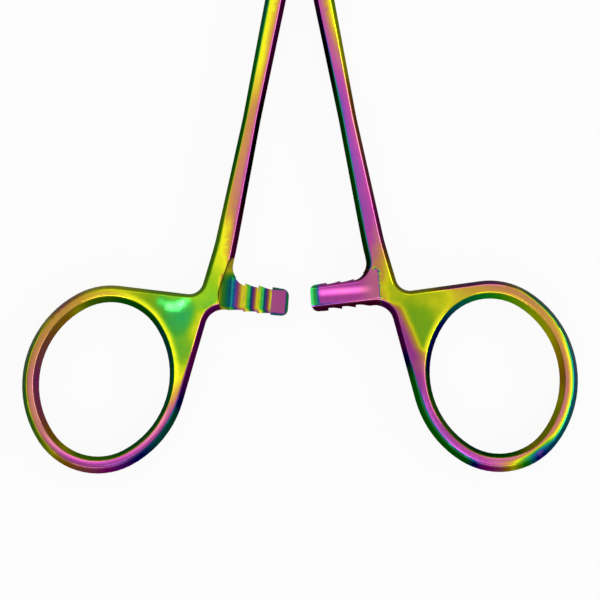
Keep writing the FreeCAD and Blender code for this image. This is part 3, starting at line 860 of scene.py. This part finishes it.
    def arm_coat(self, spot: Spot) -> Coat:
        """Stripes that run through the whole series on every tooth, with painted shade on the
        walls.

        Args:
            spot: A corner of the arm.

        Returns:
            Its coating.
        """
        wall = ease(abs(spot.upright), *self.ridge_shade)
        lower = spot.down - self.arm_down
        middle = self.lock_thickness / 2
        if spot.height > middle:
            return self.front_face.toward(self.front_wall, wall)
        if spot.height < middle - self.back_depth:
            return self.back_face.toward(self.back_wall, wall)
        if spot.out < self.first_tooth + 0.02:
            edge = min(spot.out + self.arm_reach, lower + 0.2, self.arm_width - lower)
            block = self.block_face.toward(self.block_rim, ease(edge, 0.5, 0.3))
            upper = ease(spot.lean_up, 0.2, 0.4)
            return block.toward(self.block_wall.toward(self.block_top, upper), wall)
        # Steep tooth fronts: painted shade
        if spot.lean_out > 0.5:
            return self.tooth_front
        stripe = self.stripe(spot.out)
        high = ease(spot.down, self.arm_down - 0.4, self.arm_down - 2.6)
        stripe = stripe.toward(self.arm_top, high)
        low = ease(lower, self.arm_width - 1.0, self.arm_width - 0.5)
        stripe = stripe.toward(Coat(stripe.film + 0.28, stripe.shade * 0.8), low)
        return stripe.toward(self.tooth_wall, wall)

    def stripe(self, out: float) -> Coat:
        """Coating along the teeth; the last stripes stretch to the end of the recess.

        Args:
            out: Distance outwards in mm.

        Returns:
            The coating there.
        """
        share = (out - self.first_tooth) / self.tooth_pitch
        if share > 2:
            root = self.first_tooth + 2 * self.tooth_pitch
            share = min(0.999, (out - root) / (self.recess_out - 0.1 - root))
        share %= 1.0
        for before, after in zip(self.stripes, self.stripes[1:]):
            if share <= after[0]:
                part = (share - before[0]) / (after[0] - before[0])
                return Coat(*before[1:]).toward(Coat(*after[1:]), part)
        return Coat(*self.stripes[-1][1:])


@dataclass
class TongueHalf(Forging):
    """Half with the tongue: its ring is on the right, and its teeth face the back."""

    node: str = "male_half"
    body: str = "tongue_side"
    piece: str = "tongue_half_polished"
    side: int = 1
    ring_down: float = 74.9
    ring_tilt: float = 5.3
    ring_band: float = 2.8
    arm_down: float = 58.85
    dish_depth: float = 0.25
    shank_step: tuple[float, float] = (-0.2, 0.7)
    ring_step_over: tuple[float, float] = (-0.8, 0.4)
    shank: tuple[Station, ...] = field(default_factory=lambda: stations(
        (-36.5, 1.10, 0.90, 1.18, 0.85, 0.90, 0.40, 1.45, 0.30),
        (-22.0, 1.26, 0.90, 1.20, 0.90, 0.85, 0.40, 1.40, 0.30),
        (-10.0, 1.36, 0.85, 1.30, 0.85, 0.80, 0.40, 1.30, 0.30),
        (-3.0, 1.20, 0.90, 1.20, 0.90, 0.90, 0.40, 0.90, 0.40),
        (4.0, 1.05, 0.95, 1.10, 0.95, 0.90, 0.40, 0.90, 0.40),
        (9.0, 0.98, 1.00, 1.20, 0.95, 0.84, 0.40, 1.30, 0.18),
        (15.3, 0.99, 0.95, 1.26, 0.90, 0.90, 0.42, 1.36, 0.10),
        (19.0, 1.02, 0.95, 1.27, 0.90, 0.94, 0.38, 1.40, 0.07),
        (23.0, 1.20, 0.90, 1.29, 0.92, 0.98, 0.34, 1.60, 0.06),
        (27.0, 1.29, 0.92, 1.33, 0.95, 1.02, 0.30, 1.70, 0.08),
        (31.0, 1.31, 0.95, 1.42, 0.95, 1.16, 0.24, 1.72, 0.14),
        (38.0, 1.32, 1.00, 1.41, 1.00, 1.20, 0.22, 1.72, 0.18),
        (44.0, 1.34, 0.92, 1.40, 0.90, 1.26, 0.22, 1.72, 0.18),
        (49.0, 1.31, 0.85, 1.38, 0.82, 1.30, 0.20, 1.72, 0.16),
        (53.0, 1.24, 0.80, 1.33, 0.78, 1.28, 0.18, 1.72, 0.14),
        (56.5, 1.06, 0.68, 1.20, 0.72, 1.05, 0.20, 1.70, 0.12),
        (60.0, 0.95, 0.60, 1.04, 0.66, 1.00, 0.22, 1.40, 0.12),
        (66.0, 0.92, 0.60, 1.20, 0.60, 0.95, 0.22, 1.36, 0.14)))
    ring: tuple[Station, ...] = field(default_factory=lambda: stations(
        (0.0, 1.04, 0.80, 1.22, 0.80, 0.58, 0.60, 1.10, 0.26),
        (30.0, 1.03, 0.85, 1.15, 0.80, 0.64, 0.42, 1.02, 0.30),
        (60.0, 1.14, 0.80, 1.10, 0.72, 0.66, 0.18, 0.92, 0.42),
        (90.0, 1.17, 0.80, 1.10, 0.75, 1.36, 0.14, 0.78, 0.50),
        (120.0, 1.02, 0.68, 1.05, 0.75, 1.30, 0.14, 0.62, 0.46),
        (145.0, 0.86, 0.62, 0.99, 0.95, 1.20, 0.14, 0.50, 0.30),
        (160.0, 0.88, 0.60, 1.02, 0.95, 1.36, 0.12, 0.50, 0.22),
        (172.0, 1.24, 0.55, 1.20, 0.90, 1.60, 0.14, 0.50, 0.18),
        (182.0, 1.36, 0.60, 1.30, 0.85, 1.74, 0.24, 0.70, 0.16),
        (205.0, 1.38, 0.70, 1.33, 0.85, 1.76, 0.26, 0.84, 0.16),
        (230.0, 1.38, 0.70, 1.34, 0.80, 1.76, 0.26, 0.84, 0.16),
        (250.0, 1.36, 0.75, 1.33, 0.90, 1.74, 0.24, 0.70, 0.16),
        (262.0, 1.36, 0.55, 1.29, 1.05, 1.36, 0.28, 0.68, 0.16),
        (272.0, 1.24, 0.60, 1.28, 1.10, 1.26, 0.34, 0.80, 0.16),
        (281.0, 1.05, 0.50, 1.27, 1.05, 0.98, 0.38, 0.84, 0.16),
        (288.0, 0.80, 0.55, 1.25, 1.00, 0.78, 0.42, 0.90, 0.16),
        (294.0, 0.60, 0.55, 1.24, 0.95, 0.58, 0.50, 1.00, 0.16),
        (299.0, 0.48, 0.55, 1.22, 0.90, 0.47, 0.50, 1.00, 0.18),
        (305.0, 0.62, 0.60, 1.22, 0.95, 0.56, 0.50, 0.98, 0.18),
        (314.0, 0.96, 0.65, 1.22, 0.95, 0.60, 0.55, 0.96, 0.20),
        (332.0, 1.02, 0.80, 1.26, 0.90, 0.62, 0.60, 0.98, 0.22),
        (360.0, 1.04, 0.80, 1.22, 0.80, 0.58, 0.60, 1.10, 0.26)))
    rim_from: float = 188.0
    rim_span: float = 205.0
    rim_step: tuple[float, float] = (0.2, 0.9)
    glint_across: float = 0.3
    tints_and_highlights: tuple[TintAndHighlightPatch, ...] = (
        TintAndHighlightPatch(9.8, 60.6, 3.0, Coat(0.96, 0.60), 0.8),
        TintAndHighlightPatch(12.4, 65.2, 3.6, Coat(0.86, 0.62), 0.95),
        TintAndHighlightPatch(16.6, 62.2, 2.6, Coat(0.95, 0.62), 0.8),
        TintAndHighlightPatch(9.4, 64.6, 2.5, Coat(1.36, 0.55), 1.0, (11.6, 71.0)))
    # The arm's plain front, which gives the tip, the middle, the root and the edges, with a
    # painted highlight streak and tip line, and a flank in painted shade
    tip_face: Coat = Coat(0.72, 0.80)
    mid_face: Coat = Coat(0.34, 0.70)
    root_face: Coat = Coat(0.26, 0.75)
    arm_highlight_streak: Coat = Coat(0.30, 3.0)
    low_edge: Coat = Coat(0.74, 0.4)
    tip_highlight_line: Coat = Coat(0.72, 2.4)
    arm_flank: Coat = Coat(0.28, 0.10)

    def arm_coat(self, spot: Spot) -> Coat:
        """Plain front of the arm: violet along its middle with a painted highlight streak, and
        green at the tip with a painted highlight line.

        Args:
            spot: A corner of the arm.

        Returns:
            Its coating.
        """
        lower = spot.down - self.arm_down
        # Painted highlight streak along the upper middle of the face
        highlight_streak = ease(abs(lower - 1.5), 0.8, 0.0) * ease(spot.out, -2.2, -1.2)
        face = self.tip_face.toward(self.mid_face, ease(spot.out, -2.2, -1.5))
        face = face.toward(self.arm_highlight_streak, 0.8 * highlight_streak)
        face = face.toward(self.root_face, ease(spot.out, 3.5, 7.0))
        face = face.toward(self.low_edge, ease(lower, 3.0, 3.5) * ease(spot.out, 4.0, 2.0))
        edge = min(spot.out + self.arm_reach, lower + 0.1, self.arm_width - lower)
        tip = ease(spot.out, -0.8, -2.0)
        face = face.toward(self.tip_highlight_line, 0.8 * tip * ease(edge, 0.5, 0.25))
        # The upper flank is painted nearly as bright as the face, the rest in painted shade
        upper = ease(spot.lean_up, 0.2, 0.4) * ease(spot.out, 5.0, 3.0)
        flank = self.arm_flank.toward(Coat(face.film, 0.85 * face.shade), upper)
        return self.over_edge(face, flank, spot, self.ridge_film, self.ridge_shade)


@dataclass
class PivotPin:
    """Turned pin, pressed into the box and polished flush with it."""

    node: str = "pivot_pin"
    body: str = "box_side"
    piece: str = "pivot_pin_polished"
    radius: float = 1.2
    length: float = 4.6
    edge: float = 0.12
    segments: int = 64
    sharp_degrees: float = 50.0
    # Film from the middle to the rim, and its shade
    film: tuple[float, float] = (1.08, 1.36)
    shade: float = 0.85

    def make(self, steel: bpy.types.Material) -> bpy.types.Object:
        """Turn the pin's profile about the pivot.

        Args:
            steel: The coated steel.

        Returns:
            The finished piece.
        """
        profile = [(0.0, self.length), (self.radius - 3 * self.edge, self.length),
                   (self.radius - self.edge, self.length),
                   (self.radius, self.length - self.edge), (self.radius, self.edge),
                   (self.radius - self.edge, 0.0), (self.radius - 3 * self.edge, 0.0),
                   (0.0, 0.0)]
        shape = bmesh.new()
        points = [shape.verts.new((out * MM, 0.0, height * MM)) for out, height in profile]
        edges = [shape.edges.new(pair) for pair in zip(points, points[1:])]
        bmesh.ops.spin(shape, geom=[*points, *edges], cent=(0, 0, 0), axis=(0, 0, 1),
                       angle=math.tau, steps=self.segments, use_merge=True)
        bmesh.ops.remove_doubles(shape, verts=shape.verts, dist=1e-3 * MM)
        bmesh.ops.recalc_face_normals(shape, faces=shape.faces)
        for edge in shape.edges:
            edge.smooth = edge.calc_face_angle(math.pi) < math.radians(self.sharp_degrees)
        for face in shape.faces:
            face.smooth = True
        mesh = bpy.data.meshes.new(self.piece)
        shape.to_mesh(mesh)
        shape.free()
        reach = [mesh.vertices[loop.vertex_index].co.xy.length / (self.radius * MM)
                 for loop in mesh.loops]
        write_coat_and_shade(mesh, [mix(*self.film, share ** 2) for share in reach],
                   [self.shade] * len(reach))
        return finished(mesh, steel, self.body, self.node)


@dataclass
class Lamp:
    """Softbox that points at the rings: where it hangs, its size and its power."""

    name: str
    place: tuple[float, float, float]
    width: float
    depth: float
    watts: float


@dataclass
class Studio:
    """White sweep, soft lamps and the camera above the rings."""

    aim: Vector = field(default_factory=lambda: Vector((0.000046, -0.0612, 0.0023)))
    camera_distance: float = 0.38
    # The photograph looks a little from the rings' end
    camera_tilt: float = 6.0
    view_width: float = 0.0918
    sensor: float = 36.0
    floor_size: float = 3.0
    floor_drop: float = 0.00005
    floor_colour: str = "#F4F4F3"
    shadow_share: float = 0.07
    sky: float = 0.45
    lamps: tuple[Lamp, ...] = (
        Lamp("left_softbox", (-0.54, -0.04, 0.25), 0.60, 0.08, 0.25),
        Lamp("right_softbox", (0.54, -0.06, 0.25), 0.70, 0.10, 1.4),
        Lamp("far_softbox", (0.02, 0.44, 0.30), 0.34, 0.08, 0.25),
        Lamp("near_softbox", (-0.04, -0.58, 0.30), 0.50, 0.10, 0.8),
        Lamp("top_softbox", (-0.02, -0.19, 0.52), 0.09, 0.04, 0.06))

    def white_where_seen(self, tree: bpy.types.NodeTree) -> bpy.types.NodeSocket:
        """Share that is 1 for the rays that show the background.

        Args:
            tree: Node tree of the world or the floor.

        Returns:
            The socket with the share.
        """
        path = add_node(tree, "ShaderNodeLightPath")
        seen = add_node(tree, "ShaderNodeMath", {
            0: path.outputs["Is Camera Ray"], 1: path.outputs["Is Glossy Ray"]},
            operation="ADD")
        seen = add_node(tree, "ShaderNodeMath", {
            0: seen.outputs[0], 1: path.outputs["Is Transmission Ray"]},
            operation="ADD", use_clamp=True)
        return seen.outputs[0]

    def world(self) -> None:
        """White surroundings, a little softer as light than they look."""
        world = bpy.data.worlds.new("white_room")
        bpy.context.scene.world = world
        world.use_nodes = True
        tree = world.node_tree
        tree.nodes.clear()
        strength = add_node(tree, "ShaderNodeMapRange", {
            "Value": self.white_where_seen(tree), "To Min": self.sky, "To Max": 1.0})
        white = add_node(tree, "ShaderNodeBackground", {
            "Color": (1.0, 1.0, 1.0, 1.0), "Strength": strength.outputs["Result"]})
        add_node(tree, "ShaderNodeOutputWorld", {"Surface": white.outputs[0]})

    def floor(self) -> None:
        """Pale floor that shows nearly white and keeps a faint shadow."""
        shape = bmesh.new()
        bmesh.ops.create_grid(shape, x_segments=1, y_segments=1, size=self.floor_size / 2)
        bmesh.ops.translate(shape, verts=shape.verts, vec=(0, 0, -self.floor_drop))
        mesh = bpy.data.meshes.new("floor")
        shape.to_mesh(mesh)
        shape.free()
        # Matt paper gives no gloss, only a soft shadow
        paper = bpy.data.materials.new("matt_white_paper")
        paper.use_nodes = True
        tree = paper.node_tree
        tree.nodes.clear()
        matt = add_node(tree, "ShaderNodeBsdfDiffuse", {"Color": linear(self.floor_colour)})
        glow = add_node(tree, "ShaderNodeEmission", {"Color": (1.0, 1.0, 1.0, 1.0)})
        share = add_node(tree, "ShaderNodeMath", {
            0: self.white_where_seen(tree), 1: 1 - self.shadow_share}, operation="MULTIPLY")
        both = add_node(tree, "ShaderNodeMixShader", {
            0: share.outputs[0], 1: matt.outputs[0], 2: glow.outputs[0]})
        add_node(tree, "ShaderNodeOutputMaterial", {"Surface": both.outputs[0]})
        mesh.materials.append(paper)
        floor = bpy.data.objects.new("floor", mesh)
        bpy.context.scene.collection.objects.link(floor)

    def light(self) -> None:
        """Hang the softboxes, each pointed at the rings."""
        for lamp in self.lamps:
            data = bpy.data.lights.new(lamp.name, "AREA")
            data.shape = "RECTANGLE"
            data.size, data.size_y, data.energy = lamp.width, lamp.depth, lamp.watts
            box = bpy.data.objects.new(lamp.name, data)
            box.location = lamp.place
            box.rotation_euler = (self.aim - box.location).to_track_quat("-Z", "Y").to_euler()
            bpy.context.scene.collection.objects.link(box)

    def camera(self) -> None:
        """Camera that looks down a little from the rings' end, the jaws' way up."""
        data = bpy.data.cameras.new("camera")
        data.sensor_width = self.sensor
        data.sensor_fit = "HORIZONTAL"
        data.lens = self.sensor * self.camera_distance / self.view_width
        camera = bpy.data.objects.new("camera", data)
        tilt = math.radians(self.camera_tilt)
        camera.rotation_euler = (tilt, 0, 0)
        camera.location = self.aim + self.camera_distance * Vector(
            (0, -math.sin(tilt), math.cos(tilt)))
        bpy.context.scene.collection.objects.link(camera)
        bpy.context.scene.camera = camera

    def build(self) -> None:
        """Set up everything round the forceps."""
        self.world()
        self.floor()
        self.light()
        self.camera()
        bpy.context.scene.view_settings.view_transform = "Standard"


def main() -> None:
    """Build the forceps' pieces and the studio."""
    logging.basicConfig(level=logging.INFO, format="%(name)s: %(message)s")
    steel = RainbowSteel().material()
    for part in (BoxHalf(), TongueHalf(), PivotPin()):
        piece = part.make(steel)
        log.info("%s: %d faces", piece.name, len(piece.data.polygons))
    Studio().build()


if __name__ == "__main__":
    main()
